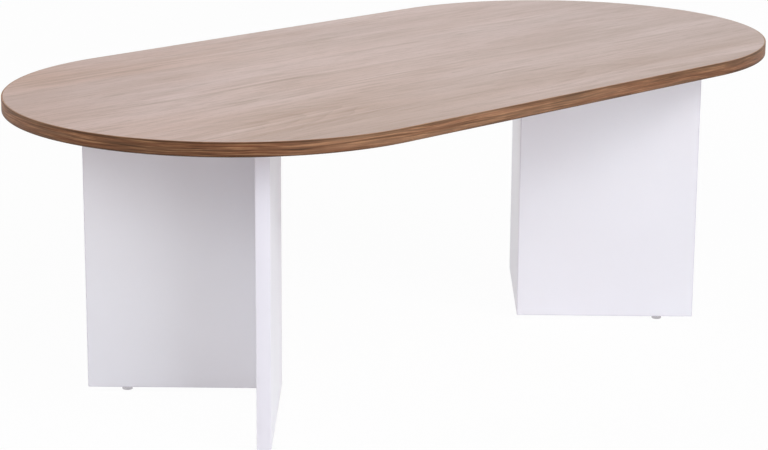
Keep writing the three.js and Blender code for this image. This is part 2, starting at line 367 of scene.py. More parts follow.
def linear(seen: Tone) -> tuple[float, float, float, float]:
    """A colour given as it is seen on a screen, from 0 to 255, as the linear one that shaders take.

    A dark share of 255 is divided by 12.92. To any other 0.055 is added, and the sum is divided by 1.055 and
    raised to the power 2.4.

    Args:
        seen: the red, green and blue shares.

    Returns:
        The linear colour with full cover.
    """
    share = np.array(seen) / 255
    shares = np.where(share <= 0.04045, share / 12.92, ((share + 0.055) / 1.055) ** 2.4)
    return (*shares.tolist(), 1.0)


class Recipe:
    """A shader under construction, with a method for each kind of node that the finishes use."""

    def __init__(self, owner: bpy.types.Material | bpy.types.World) -> None:
        """Empty the owner's shader.

        Args:
            owner: the material or world that the shader belongs to.
        """
        owner.use_nodes = True
        self.owner = owner
        self.tree = owner.node_tree
        self.tree.nodes.clear()

    def node(self, kind: str, inputs: dict[str | int, object] | None = None, **options: object) -> Node:
        """Add a node, set its options and fill its inputs.

        Args:
            kind: the node's type.
            inputs: what each input gets, by its name or number: an output socket to link, a number, a place,
                or a colour as it is seen.
            options: the options to set on it.

        Returns:
            The new node.
        """
        made = self.tree.nodes.new(kind)
        for option, value in options.items():
            setattr(made, option, value)
        for name, value in (inputs or {}).items():
            socket = made.inputs[name]
            if isinstance(value, Socket):
                self.tree.links.new(value, socket)
            elif socket.type == "RGBA":
                socket.default_value = linear(value)
            else:
                socket.default_value = value
        return made

    def place(self, source: Coordinates) -> Socket:
        """The place that a pattern is read at, in metres."""
        return self.node("ShaderNodeTexCoord").outputs[source.value]

    def coordinate(self, where: Socket, axis: str) -> Socket:
        """One of a place's coordinates."""
        return self.node("ShaderNodeSeparateXYZ", {0: where}).outputs[axis]

    def math(self, operation: str, first: object, second: object = 0.0) -> Socket:
        """The result of a sum on one or two values."""
        return self.node("ShaderNodeMath", {0: first, 1: second}, operation=operation).outputs["Value"]

    def times(self, *factors: object) -> Socket:
        """Values multiplied together."""
        return reduce(partial(self.math, "MULTIPLY"), factors)

    def vector(self, operation: str, first: object, second: object = NOWHERE,
               output: str = "Vector") -> Socket:
        """The result of a sum on places or directions."""
        return self.node("ShaderNodeVectorMath", {0: first, 1: second}, operation=operation).outputs[output]

    def noise(self, where: Socket, grain: Grain) -> Socket:
        """Cloudy noise, mostly between 0.3 and 0.7.

        Args:
            where: the place in metres.
            grain: the kind of noise.

        Returns:
            The noise's value socket.
        """
        cycles = self.vector("MULTIPLY", where, grain.cycles)
        inputs = {"Vector": cycles, "Scale": 1.0, "Detail": grain.detail, "Roughness": grain.roughness}
        return self.node("ShaderNodeTexNoise", inputs).outputs["Fac"]

    def ramp(self, value: object, ramp: Ramp) -> Socket:
        """A value taken along a ramp.

        Args:
            value: the socket to read.
            ramp: what its values become.

        Returns:
            The new value's socket.
        """
        inputs = {"Value": value, "From Min": ramp.low, "From Max": ramp.high,
                  "To Min": ramp.start, "To Max": ramp.end}
        return self.node("ShaderNodeMapRange", inputs, clamp=True).outputs["Result"]

    def both(self, operation: str, value: Socket, ramps: tuple[Ramp, Ramp]) -> Socket:
        """The result of a sum on what two ramps make of a value."""
        return self.math(operation, *(self.ramp(value, ramp) for ramp in ramps))

    def mix(self, share: object, first: object, second: object, blend: str = "MIX") -> Socket:
        """Two colours blended, each a socket or a colour as it is seen, with a share of the second."""
        inputs = {"Factor": share, MIX_FIRST: first, MIX_SECOND: second}
        return self.node("ShaderNodeMix", inputs, data_type="RGBA", blend_type=blend).outputs[MIX_RESULT]

    def blend(self, tone: object, value: Socket, share: Ramp, other: Tone) -> Socket:
        """A tone with as much of another in it as a ramp makes of a value."""
        return self.mix(self.ramp(value, share), tone, other)

    def swayed(self, where: Socket, grain: Grain, sway: Ramp) -> Socket:
        """A place moved along Y by what a ramp makes of noise, so that straight grain read there wanders."""
        offset = self.vector("MULTIPLY", self.ramp(self.noise(where, grain), sway), ASIDE)
        return self.vector("ADD", where, offset)

    def bump(self, height: Socket, relief: Relief) -> Socket:
        """A normal tilted by a height from 0 to 1."""
        inputs = {"Strength": relief.strength, "Distance": relief.depth, "Height": height}
        return self.node("ShaderNodeBump", inputs).outputs["Normal"]

    def finish(self, tone: object, roughness: object, normal: Socket, metallic: float = 0.0,
               specular: float = 0.5) -> bpy.types.Material:
        """Close the material with one shader.

        Args:
            tone: the base colour, a socket or a colour as it is seen.
            roughness: a socket or a number.
            normal: the normal's socket.
            metallic: 1 for metal, 0 for the rest.
            specular: the strength of its gloss.

        Returns:
            The finished material.
        """
        inputs = {"Base Color": tone, "Roughness": roughness, "Normal": normal, "Metallic": metallic,
                  "Specular IOR Level": specular}
        shader = self.node("ShaderNodeBsdfPrincipled", inputs)
        self.node("ShaderNodeOutputMaterial", {"Surface": shader.outputs["BSDF"]})
        return self.owner


@dataclass(frozen=True)
class Patch:
    """An ellipse on the face where growth lines or a tone show more; it fades from its core to its rim."""

    at: tuple[float, float]
    half_length: float
    half_width: float
    depth: float
    core: float = 0.45

    def strength(self, recipe: Recipe, fibre: Socket) -> Socket:
        """How strongly the patch shows, by the distance from its middle in units of its half axes.

        Args:
            recipe: the material that the patch goes into.
            fibre: places that follow the grain.

        Returns:
            The strength, from 0 at the rim to the patch's depth in its core.
        """
        offset = recipe.vector("SUBTRACT", fibre, (*self.at, 0.0))
        offset = recipe.vector("MULTIPLY", offset, (1 / self.half_length, 1 / self.half_width, 0.0))
        distance = recipe.vector("LENGTH", offset, output="Value")
        return recipe.ramp(distance, Ramp(1.0, self.core, 0.0, self.depth))


@dataclass(frozen=True)
class Arches:
    """A run of arched figure: nested parabolas along the grain, with their tips towards +X."""

    tip: tuple[float, float]
    half_width: float
    length: float
    rings: float
    depth: float
    bend: float = 0.7
    raggedness: float = 0.5
    sharpness: float = 2.5
    rags: Grain = Grain((5, 30, 30))
    at_sides: Ramp = Ramp(1.5, 0.4)
    at_tip: Ramp = Ramp(0.01, -0.03)
    at_tail: Ramp = Ramp(-1.2, -0.6)

    def late_wood(self, recipe: Recipe, fibre: Socket) -> Socket:
        """The dark edges of nested arches: the fraction of a level that rises with X and the square of Y.

        Args:
            recipe: the material that they go into.
            fibre: places that follow the grain.

        Returns:
            How strongly the late wood shows, from 0 between arches and outside the figure.
        """
        along = recipe.math("SUBTRACT", recipe.coordinate(fibre, "X"), self.tip[0])
        lengths = recipe.math("DIVIDE", along, self.length)
        aside = recipe.math("SUBTRACT", recipe.coordinate(fibre, "Y"), self.tip[1])
        widths = recipe.math("DIVIDE", aside, self.half_width)
        square = recipe.times(widths, widths)
        level = recipe.math("ADD", lengths, recipe.times(square, self.bend))
        level = recipe.math("ADD", level, recipe.times(recipe.noise(fibre, self.rags), self.raggedness))
        ring = recipe.math("POWER", recipe.math("FRACT", recipe.times(level, self.rings)), self.sharpness)
        return recipe.times(ring, recipe.ramp(square, self.at_sides), recipe.ramp(along, self.at_tip),
                            recipe.ramp(lengths, self.at_tail), self.depth)


@dataclass(frozen=True)
class WalnutFace:
    """A pale walnut facing: clouds, straight bands, patches, clusters of growth lines, grain and pores, with
    painted sheen and shade.
    """

    pale: Tone = (224, 199, 194)
    pink: Tone = (225, 182, 161)
    # The grey of the painted sheen towards +X.
    brown: Tone = (188, 155, 140)
    cool: Tone = (180, 161, 163)
    dark: Tone = (144, 108, 78)
    pore: Tone = (128, 94, 66)
    wander: Grain = Grain((2.2, 7, 7), detail=1.5)
    sway: Ramp = Ramp(0.25, 0.75, -0.009, 0.009)
    clouds: Grain = Grain((2.6, 8, 8), roughness=0.45)
    pale_clouds: Ramp = Ramp(0.38, 0.62)
    hue: Grain = Grain((2.0, 5, 9), detail=1)
    pink_share: Ramp = Ramp(0.36, 0.66, 0.15, 0.5)
    painted_sheen_along_x: Ramp = Ramp(-0.5, 0.6, 0, 0.4)
    # How much painted shade darkens the face towards the front.
    painted_shade_to_front: Ramp = Ramp(0.3, -0.3, 0, 0.38)
    bands: Grain = Grain((0.7, 16, 30), roughness=0.4)
    dark_bands: Ramp = Ramp(0.48, 0.66, 0, 0.22)
    pale_bands: Ramp = Ramp(0.44, 0.3, 0, 0.4)
    mottle: Grain = Grain((6, 40, 40))
    mottle_share: Ramp = Ramp(0.35, 0.6, 0.4, 1.2)
    flecks: Grain = Grain((12, 120, 120), detail=3, roughness=0.7)
    dark_flecks: Ramp = Ramp(0.5, 0.66, 0, 0.3)
    lines: Grain = Grain((3.4, 104, 104), detail=4, roughness=0.62)
    lines_in_clouds: Ramp = Ramp(0.6, 0.4, 0.06, 0.2)
    dark_lines: Ramp = Ramp(0.51, 0.66, 0, 0.66)
    pale_lines: Ramp = Ramp(0.49, 0.33, 0, 0.5)
    grain: Grain = Grain((9, 430, 430), detail=3, roughness=0.7)
    dark_grain: Ramp = Ramp(0.5, 0.75, 0, 0.36)
    pores: Grain = Grain((75, 1500, 1500), detail=1)
    pore_edge: Ramp = Ramp(0.62, 0.74)
    pore_share: float = 0.45
    pore_depth: float = 0.8
    roughness: Ramp = Ramp(*NOISE_RANGE, 0.38, 0.48)
    relief: Relief = Relief(0.00012, 0.35)
    streaks: tuple[Patch, ...] = (
        Patch(at=(-0.36, 0.212), half_length=0.24, half_width=0.040, depth=0.8),
        Patch(at=(-0.06, 0.212), half_length=0.20, half_width=0.030, depth=0.8),
        Patch(at=(-0.24, 0.006), half_length=0.34, half_width=0.024, depth=0.95),
        Patch(at=(-0.20, -0.058), half_length=0.28, half_width=0.028, depth=1.0),
        Patch(at=(0.14, -0.055), half_length=0.24, half_width=0.024, depth=0.5),
        Patch(at=(0.25, 0.118), half_length=0.42, half_width=0.022, depth=0.5),
        Patch(at=(0.07, -0.150), half_length=0.10, half_width=0.030, depth=1.0),
        Patch(at=(-0.36, -0.185), half_length=0.24, half_width=0.050, depth=0.7),
        Patch(at=(0.12, -0.270), half_length=0.30, half_width=0.030, depth=0.7),
        Patch(at=(0.36, -0.020), half_length=0.18, half_width=0.030, depth=0.5),
    )
    shades: tuple[Patch, ...] = (
        Patch(at=(-0.40, 0.070), half_length=0.12, half_width=0.035, depth=0.20),
        Patch(at=(-0.29, -0.050), half_length=0.12, half_width=0.030, depth=0.20),
        Patch(at=(-0.02, 0.200), half_length=0.20, half_width=0.030, depth=0.24),
        Patch(at=(0.30, 0.100), half_length=0.22, half_width=0.030, depth=0.26),
        Patch(at=(0.00, -0.170), half_length=0.26, half_width=0.030, depth=0.18),
        Patch(at=(0.40, -0.165), half_length=0.14, half_width=0.035, depth=0.22),
        Patch(at=(-0.16, -0.255), half_length=0.14, half_width=0.022, depth=0.16),
    )
    lights: tuple[Patch, ...] = (
        Patch(at=(-0.24, 0.258), half_length=0.22, half_width=0.032, depth=0.40),
        Patch(at=(-0.38, 0.150), half_length=0.18, half_width=0.030, depth=0.30),
        Patch(at=(-0.19, 0.005), half_length=0.10, half_width=0.030, depth=0.25),
        Patch(at=(0.48, -0.085), half_length=0.16, half_width=0.035, depth=0.30),
        Patch(at=(-0.50, -0.140), half_length=0.12, half_width=0.035, depth=0.25),
    )
    arches: tuple[Arches, ...] = (
        Arches(tip=(-0.225, -0.170), half_width=0.060, length=0.24, rings=4, depth=0.40),
        Arches(tip=(0.30, -0.215), half_width=0.050, length=0.34, rings=4, depth=0.30),
    )

    def material(self) -> bpy.types.Material:
        """The finish as a material; its grain runs along X and hardly wanders.

        Returns:
            The board's material.
        """
        recipe = Recipe(bpy.data.materials.new("walnut_face"))
        fibre = recipe.swayed(recipe.place(Coordinates.OBJECT), self.wander, self.sway)
        clouds, hue, bands = (recipe.noise(fibre, kind) for kind in (self.clouds, self.hue, self.bands))
        tone = recipe.blend(self.brown, clouds, self.pale_clouds, self.pale)
        tone = recipe.blend(tone, hue, self.pink_share, self.pink)
        # Painted sheen: the face turns greyer towards +X, as the backdrop's gloss would grey it at a grazing
        # angle.
        tone = recipe.blend(tone, recipe.coordinate(fibre, "X"), self.painted_sheen_along_x, self.cool)
        # Painted shade: darker towards the front, -Y, to even out the front lamps' stronger light there.
        tone = recipe.blend(tone, recipe.coordinate(fibre, "Y"), self.painted_shade_to_front, self.dark)
        tone = recipe.blend(tone, bands, self.dark_bands, self.dark)
        tone = recipe.blend(tone, bands, self.pale_bands, self.pale)
        mottle = recipe.ramp(recipe.noise(fibre, self.mottle), self.mottle_share)
        for patches, other in ((self.shades, self.dark), (self.lights, self.pale)):
            tone = recipe.mix(recipe.times(self.strongest(recipe, fibre, patches), mottle), tone, other)
        tone = recipe.blend(tone, recipe.noise(fibre, self.flecks), self.dark_flecks, self.dark)
        for arch in self.arches:
            tone = recipe.mix(arch.late_wood(recipe, fibre), tone, self.dark)
        lines = recipe.noise(fibre, self.lines)
        strength = recipe.math("MAXIMUM", self.strongest(recipe, fibre, self.streaks),
                               recipe.ramp(clouds, self.lines_in_clouds))
        for share, other in ((self.dark_lines, self.dark), (self.pale_lines, self.pale)):
            tone = recipe.mix(recipe.times(recipe.ramp(lines, share), strength), tone, other)
        grain = recipe.noise(fibre, self.grain)
        tone = recipe.blend(tone, grain, self.dark_grain, self.dark)
        pores = recipe.ramp(recipe.noise(fibre, self.pores), self.pore_edge)
        tone = recipe.mix(recipe.times(pores, self.pore_share), tone, self.pore)
        height = recipe.math("SUBTRACT", grain, recipe.times(pores, self.pore_depth))
        return recipe.finish(tone, recipe.ramp(grain, self.roughness), recipe.bump(height, self.relief))

    @staticmethod
    def strongest(recipe: Recipe, fibre: Socket, patches: tuple[Patch, ...]) -> Socket:
        """The most that any patch gives in a place.

        Args:
            recipe: the material that the patches go into.
            fibre: places that follow the grain.
            patches: the patches.

        Returns:
            The strength, from 0 to 1.
        """
        strength = 0.0
        for patch in patches:
            strength = recipe.math("MAXIMUM", strength, patch.strength(recipe, fibre))
        return strength


@dataclass(frozen=True)
class WalnutBand:
    """The thick plastic edge band, printed with a darker walnut grain that follows the edge, with painted
    sheen and highlight.

    Places along the lap are measured from the middle of the far side, and those on the section from the inner
    edge at the face.
    """

    base: Tone = (104, 72, 51)
    light: Tone = (154, 113, 82)
    dark: Tone = (62, 43, 30)
    red: Tone = (113, 71, 49)
    # The tone of a painted highlight along the band's top edge.
    painted_highlight: Tone = (190, 150, 122)
    # The tone of the painted sheen that is added along the band.
    sheen: Tone = (104, 82, 65)
    wander: Grain = Grain((7, 30, 1), detail=1)
    sway: Ramp = Ramp(0.25, 0.75, -0.002, 0.002)
    broad: Grain = Grain((5, 120, 1))
    red_share: Ramp = Ramp(0.4, 0.62, 0, 0.9)
    glints: Grain = Grain((14, 560, 1), detail=3, roughness=0.65)
    light_glints: Ramp = Ramp(0.52, 0.66)
    dark_glints: Ramp = Ramp(0.48, 0.35, 0, 0.9)
    fine: Grain = Grain((90, 2600, 1))
    dark_fibres: Ramp = Ramp(0.5, 0.75, 0, 0.4)
    under_face: tuple[Ramp, Ramp] = (Ramp(0.0018, 0.0026), Ramp(0.0042, 0.003, 0, 0.8))
    over_floor: Ramp = Ramp(0.0168, 0.0185, 0, 0.8)
    highlight_at_face: Ramp = Ramp(0.0018, 0.0012, 0, 0.7)
    # How strongly the painted sheen shows along the lap: most on the near side, less round both arcs.
    left_arc: tuple[Ramp, Ramp] = (Ramp(0.76, 0.96, 0.5, 0), Ramp(1.04, 1.16, 0, 1))
    right_arc: tuple[Ramp, Ramp] = (Ramp(1.4, 1.95, 1, 0.4), Ramp(1.95, 2.2, 0, 0.5))
    strokes: Grain = Grain((9, 230, 1), roughness=0.6)
    stroke_share: Ramp = Ramp(0.36, 0.64, 0.3, 1.08)
    roughness: Ramp = Ramp(*NOISE_RANGE, 0.46, 0.58)
    relief: Relief = Relief(0.00006, 0.4)
    specular: float = 0.12

    def material(self) -> bpy.types.Material:
        """The finish as a material, read along the band and round its section from its own coordinates.

        Returns:
            The band's material.
        """
        recipe = Recipe(bpy.data.materials.new("walnut_band"))
        straight = recipe.place(Coordinates.SURFACE)
        lap, section = (recipe.coordinate(straight, axis) for axis in "XY")
        fibre = recipe.swayed(straight, self.wander, self.sway)
        broad, glints, fine = (recipe.noise(fibre, kind) for kind in (self.broad, self.glints, self.fine))
        tone = recipe.blend(self.base, broad, self.red_share, self.red)
        tone = recipe.blend(tone, glints, self.light_glints, self.light)
        tone = recipe.blend(tone, glints, self.dark_glints, self.dark)
        tone = recipe.blend(tone, fine, self.dark_fibres, self.dark)
        tone = recipe.mix(recipe.both("MULTIPLY", section, self.under_face), tone, self.dark)
        tone = recipe.blend(tone, section, self.over_floor, self.dark)
        # Painted highlight: a pale line along the band's top, next to the face.
        tone = recipe.blend(tone, section, self.highlight_at_face, self.painted_highlight)
        # Painted sheen: a lighter tone added along the lap, strongest on the near side and broken into
        # strokes.
        arcs = (recipe.both("MAXIMUM", lap, arc) for arc in (self.left_arc, self.right_arc))
        strokes = recipe.ramp(recipe.noise(fibre, self.strokes), self.stroke_share)
        tone = recipe.mix(recipe.times(*arcs, strokes), tone, self.sheen, blend="ADD")
        return recipe.finish(tone, recipe.ramp(fine, self.roughness), recipe.bump(fine, self.relief),
                             specular=self.specular)


@dataclass(frozen=True)
class PlainFinish:
    """A finish of one colour that clouds softly between two close tones, with a fine texture."""

    name: str
    base: Tone
    tint: Tone
    roughness: float
    clouds: Grain
    texture: Grain
    relief: Relief
    smoother: float
    rougher: float
    metallic: float
    tint_share: Ramp = Ramp(0.35, 0.65)

    def material(self) -> bpy.types.Material:
        """The finish as a material, a little smoother in one tone and rougher in the other.

        Returns:
            The material, under the finish's name.
        """
        recipe = Recipe(bpy.data.materials.new(self.name))
        place = recipe.place(Coordinates.OBJECT)
        clouds, texture = recipe.noise(place, self.clouds), recipe.noise(place, self.texture)
        tone = recipe.blend(self.base, clouds, self.tint_share, self.tint)
        roughness = Ramp(*NOISE_RANGE, self.roughness - self.smoother, self.roughness + self.rougher)
        return recipe.finish(tone, recipe.ramp(clouds, roughness), recipe.bump(texture, self.relief),
                             metallic=self.metallic)


@dataclass(frozen=True)
class WhiteBoard(PlainFinish):
    """White melamine or plastic: a fine pearl texture with a faint cool cast."""

    clouds: Grain = Grain((4, 4, 4))
    texture: Grain = Grain((900, 900, 900))
    relief: Relief = Relief(0.00005, 0.3)
    smoother: float = 0.03
    rougher: float = 0.04
    metallic: float = 0.0


@dataclass(frozen=True)
class Metal(PlainFinish):
    """A cast or plated metal: its tone varies a little and its surface is finely pitted."""

    clouds: Grain = Grain((160, 160, 160), detail=3)
    texture: Grain = Grain((2200, 2200, 2200))
    relief: Relief = Relief(0.0001, 0.5)
    smoother: float = 0.06
    rougher: float = 0.08
    metallic: float = 1.0


@dataclass(frozen=True)
class Beech:
    """Bare beech: pale, with broad bands and short darker flecks along the dowel."""

    name: str = "beech"
    base: Tone = (206, 172, 128)
    band: Tone = (192, 154, 110)
    fleck: Tone = (164, 120, 80)
    bands: Grain = Grain((360, 24, 1))
    band_share: Ramp = Ramp(0.4, 0.6)
    flecks: Grain = Grain((1900, 260, 1), detail=3, roughness=0.7)
    fleck_share: Ramp = Ramp(0.52, 0.7)
    roughness: float = 0.75
    relief: Relief = Relief(0.0002, 0.4)

    def material(self) -> bpy.types.Material:
        """The finish as a material: bands and then flecks over the bare wood's tone.

        Returns:
            The material, under the finish's name.
        """
        recipe = Recipe(bpy.data.materials.new(self.name))
        surface = recipe.place(Coordinates.SURFACE)
        bands, flecks = recipe.noise(surface, self.bands), recipe.noise(surface, self.flecks)
        tone = recipe.blend(self.base, bands, self.band_share, self.band)
        tone = recipe.blend(tone, flecks, self.fleck_share, self.fleck)
        return recipe.finish(tone, self.roughness, recipe.bump(flecks, self.relief))


LEG_FINISHES = (
    WhiteBoard("white_board", base=(239, 239, 245), tint=(237, 236, 242), roughness=0.42),
    WhiteBoard("white_band", base=(230, 227, 235), tint=(227, 224, 233), roughness=0.36),
    WhiteBoard("white_plastic", base=(238, 238, 240), tint=(234, 234, 238), roughness=0.3),
    Metal("zinc_casting", base=(168, 171, 173), tint=(146, 149, 152), roughness=0.46),
    Metal("plated_steel", base=(196, 193, 197), tint=(170, 167, 172), roughness=0.3,
          relief=Relief(0.00003, 0.5)),
    Beech(),
)


# The table's sub-assemblies

def dress(piece: Piece, body: str, node: str, finish: bpy.types.Material) -> None:
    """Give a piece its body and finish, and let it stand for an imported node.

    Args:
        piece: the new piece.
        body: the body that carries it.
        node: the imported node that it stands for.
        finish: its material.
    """
    piece.data.materials.clear()
    piece.data.materials.append(finish)
    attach(piece, body)
    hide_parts(node)
    log.info("%s: %d faces, on %s, for %s", piece.name, len(piece.data.polygons), body, node)


@dataclass
class Top:
    """The racetrack top: a faced board inside a thick edge band."""

    half_length: float
    half_width: float
    low: float
    high: float
    band_thickness: float = 0.002
    band_arris: float = 0.001
    glue_line: float = 0.00005
    arris_steps: int = 5
    arc_steps: int = 128
    straight_steps: int = 24
    board_rings: int = 8

    @property
    def half_straight(self) -> float:
        """How far the half circles' centres lie from the middle."""
        return self.half_length - self.half_width

    def outline(self) -> tuple[np.ndarray, np.ndarray, np.ndarray]:
        """The racetrack as centres, outward directions and distances round the edge.

        It starts and ends in the middle of the far straight side. Along a straight side the centre moves and
        the direction stays; round a half circle the direction turns and the centre stays.

        Returns:
            The centres' X, the directions' angles, and the distance round the outer edge, with the first
            point's distance a full lap on at the end.
        """
        side = np.linspace(-self.half_straight, self.half_straight, 2 * self.straight_steps, endpoint=False)
        near_side, far_side = side, -side
        turn = np.linspace(0, math.pi, self.arc_steps, endpoint=False)
        centre = np.concatenate([near_side, np.full(self.arc_steps, self.half_straight),
                                 far_side, np.full(self.arc_steps, -self.half_straight)])
        angle = np.concatenate([np.full(len(side), -math.pi / 2), turn - math.pi / 2,
                                np.full(len(side), math.pi / 2), turn + math.pi / 2])
        start = len(side) + self.arc_steps + self.straight_steps
        centre, angle = np.roll(centre, -start), np.unwrap(np.roll(angle, -start))
        x = centre + self.half_width * np.cos(angle)
        y = self.half_width * np.sin(angle)
        steps = np.hypot(np.diff(x, append=x[:1]), np.diff(y, append=y[:1]))
        return centre, angle, np.concatenate([[0], np.cumsum(steps)])

    def swept(self, name: str, reach: np.ndarray, height: np.ndarray, closed: bool) -> Piece:
        """A profile carried round the racetrack, outwards from the line between the half circles' centres.

        Args:
            name: the piece's name.
            reach: the profile's distances from that line.
            height: its heights.
            closed: whether the profile closes on itself, as a ring's does.

        Returns:
            The closed object, with its distance round the edge and along the profile as coordinates.
        """
        centre, angle, lap = self.outline()
        x = centre[None, :] + reach[:, None] * np.cos(angle)[None, :]
        y = reach[:, None] * np.sin(angle)[None, :]
        z = np.broadcast_to(height[:, None], x.shape)
        steps = np.hypot(np.diff(reach, append=reach[:1]), np.diff(height, append=height[:1]))
        profile_length = np.concatenate([[0], np.cumsum(steps)])
        if not closed:
            profile_length = profile_length[:-1]
        uv = np.stack(np.meshgrid(lap, profile_length), axis=-1)
        points = np.stack([x, y, z], axis=-1)
        return surface_object(name, points, rows_close=closed, columns_close=True, uv=uv)

    def board(self) -> Piece:
        """The board: a slab whose profile runs out along its underside, up its side and back along its face.

        Returns:
            The board, not yet drilled.
        """
        reach = np.linspace(0, self.half_width - self.band_thickness - self.glue_line, self.board_rings)
        height = np.repeat([self.low, self.high], len(reach))
        return self.swept("walnut_board", np.concatenate([reach, reach[::-1]]), height, closed=False)

    def band(self) -> Piece:
        """The edge band: a flat strip on edge with both outer arrises rounded by quarter circles.

        Returns:
            The closed ring.
        """
        outer, inner = self.half_width, self.half_width - self.band_thickness
        from_face, from_side = quarter_round(self.band_arris, self.arris_steps)
        reach = np.concatenate([[inner], outer - from_side, outer - from_side[::-1], [inner]])
        height = np.concatenate([[self.high], self.high - from_face, self.low + from_face[::-1], [self.low]])
        return self.swept("walnut_edge_band", reach, height, closed=True)

    def build(self, bores: list[Piece]) -> None:
        """Make and dress the board and its band.

        Args:
            bores: solids in the places of the bolts' bores in the board's underside.
        """
        board = self.board()
        drill(board, bores)
        dress(board, TABLE_BODY, "top_board", WalnutFace().material())
        dress(self.band(), TABLE_BODY, "top_edge_band", WalnutBand().material())


@dataclass
class LegPiece:
    """A piece of a leg: its name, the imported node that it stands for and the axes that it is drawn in."""

    name: str
    node: str
    axes: Axes
    slot: ClassVar[str]

    @property
    def body(self) -> str:
        """The body that carries the piece."""
        return TABLE_BODY

    def shape(self) -> Piece:
        """The undressed piece, which each kind of piece makes for itself."""
        raise NotImplementedError

    def build(self, finishes: Materials) -> None:
        """Make the piece and dress it in its slot's finish."""
        dress(self.shape(), self.body, self.node, finishes[self.slot])


@dataclass
class Foot(LegPiece):
    """A levelling foot: a round base on a threaded stud."""

    slot: ClassVar[str] = "plated_steel"
    base_radius: float = 0.007
    base_height: float = 0.0047
    rounding: float = 0.0005
    rounding_steps: int = 5
    arris: float = 0.0004
    arris_steps: int = 3
    stud_radius: float = 0.003
    stud_top: float = 0.0247
    thread_pitch: float = 0.001
    thread_depth: float = 0.0006
    segments: int = 48

    @property
    def body(self) -> str:
        """The foot's own body, which has its node's name."""
        return self.node

    def shape(self) -> Piece:
        """The foot: its base's profile, then a stud whose radius follows a single-start helix.

        Returns:
            The undressed foot.
        """
        side, under = quarter_round(self.rounding, self.rounding_steps)
        edge, face = quarter_round(self.arris, self.arris_steps)
        base = np.concatenate([
            [[0, 0]],
            np.stack([self.base_radius - under, side], axis=1),
            np.stack([self.base_radius - edge, self.base_height - face], axis=1),
            [[self.stud_radius, self.base_height]],
        ])
        height = np.arange(self.base_height, self.stud_top, self.thread_pitch / THREAD_ROWS)
        stud = np.stack([np.full_like(height, self.stud_radius), height], axis=1)
        tip = np.array([[self.stud_radius - self.thread_depth, self.stud_top], [0, self.stud_top]])
        profile = np.concatenate([base, stud, tip])
        ripple = np.zeros((len(profile), self.segments))
        thread = slice(len(base), len(base) + len(height))
        ripple[thread] = -screw_thread(height, self.thread_pitch, self.thread_depth, self.segments)
        return turned(self.name, profile, self.axes, self.segments, ripple)


@dataclass
class PanelEdging(LegPiece):
    """The thin edging round a panel: a strip carried down an end, along the bottom and up the other end."""

    slot: ClassVar[str] = "white_band"
    length: float
    bottom: float
    top: float
    width: float
    start: float
    foot_at: float
    thickness: float = 0.00125
    corner: float = 0.0013
    corner_steps: int = 5
    arris: float = 0.0005
    arris_steps: int = 4
    hole_radius: float = 0.00515
    hole_segments: int = 48

    def stations(self) -> tuple[np.ndarray, np.ndarray]:
        """Places on the strip's outer line and the directions from them into the panel.

        At a bottom corner the places follow a quarter circle and the directions turn with it.

        Returns:
            Two arrays with a distance along the panel and a height in each row.
        """
        turn = np.linspace(0, math.pi / 2, self.corner_steps + 1)
        outer_centre = np.array([self.length - self.corner, self.bottom + self.corner])
        outer_in = -np.stack([np.cos(turn), -np.sin(turn)], axis=1)
        places = [[[self.length, self.top]], outer_centre - self.corner * outer_in]
        inward = [[[-1.0, 0.0]], outer_in]
        if self.start > 0:
            places.append([[self.start, self.bottom]])
            inward.append([[0.0, 1.0]])
        else:
            inner_centre = np.array([self.corner, self.bottom + self.corner])
            inner_in = np.stack([np.sin(turn), np.cos(turn)], axis=1)
            places += [inner_centre - self.corner * inner_in, [[0.0, self.top]]]
            inward += [inner_in, [[1.0, 0.0]]]
        return np.concatenate(places), np.concatenate(inward)

    def section(self) -> tuple[np.ndarray, np.ndarray]:
        """The strip's section, with its outer arrises rounded.

        Returns:
            Depths into the panel and places across it.
        """
        depth_step, across_step = quarter_round(self.arris, self.arris_steps)
        depth = np.concatenate([[self.thickness], across_step, across_step[::-1], [self.thickness]])
        across = np.concatenate([[0], depth_step, self.width - depth_step[::-1], [self.width]])
        return depth, across

    def shape(self) -> Piece:
        """The strip, drilled for the foot: each section point is carried along the stations at its depth.

        Returns:
            The undressed strip.
        """
        places, inward = self.stations()
        depth, across = self.section()
        along = places[:, :1] + depth[None, :] * inward[:, :1]
        up = places[:, 1:] + depth[None, :] * inward[:, 1:]
        points = self.axes.point(along, across[None, :], up)
        strip = surface_object(self.name, points, columns_close=True, capped=True)
        drill(strip, [self.hole_cutter()])
        return strip

    def hole_cutter(self) -> Piece:
        """A round bar through the bottom of the strip, where the foot's stud passes.

        Returns:
            The closed cutter.
        """
        upright = self.axes.moved(self.foot_at, self.width / 2, self.bottom).swapped()
        reach = 2 * self.thickness
        profile = np.array([[0, -reach], [self.hole_radius, -reach], [self.hole_radius, reach], [0, reach]])
        return turned("hole_cutter", profile, upright, self.hole_segments)


@dataclass
class CamCap(LegPiece):
    """A cover cap: a shallow disc with a softly rounded rim, and a spigot into the cam's socket."""

    slot: ClassVar[str] = "white_plastic"
    rim_radius: float = 0.0085
    seat: float = 0.0003
    thickness: float = 0.0012
    rim_round: float = 0.0006
    rim_steps: int = 5
    crown: float = 0.0001
    spigot_radius: float = 0.0018
    spigot_reach: float = 0.0021
    segments: int = 56

    def shape(self) -> Piece:
        """The cap: its crown's height falls from the middle as the square of the distance.

        Returns:
            The undressed cap.
        """
        edge, face = quarter_round(self.rim_round, self.rim_steps)
        rim_top = self.seat + self.thickness - self.crown
        halfway = self.rim_radius / 2
        halfway_up = self.crown * (1 - (halfway / self.rim_radius) ** 2)
        profile = np.concatenate([
            [[0, -self.spigot_reach], [self.spigot_radius, -self.spigot_reach],
             [self.spigot_radius, self.seat], [self.rim_radius, self.seat]],
            np.stack([self.rim_radius - edge, rim_top - face], axis=1),
            [[halfway, rim_top + halfway_up], [0, rim_top + self.crown]],
        ])
        return turned(self.name, profile, self.axes, self.segments)


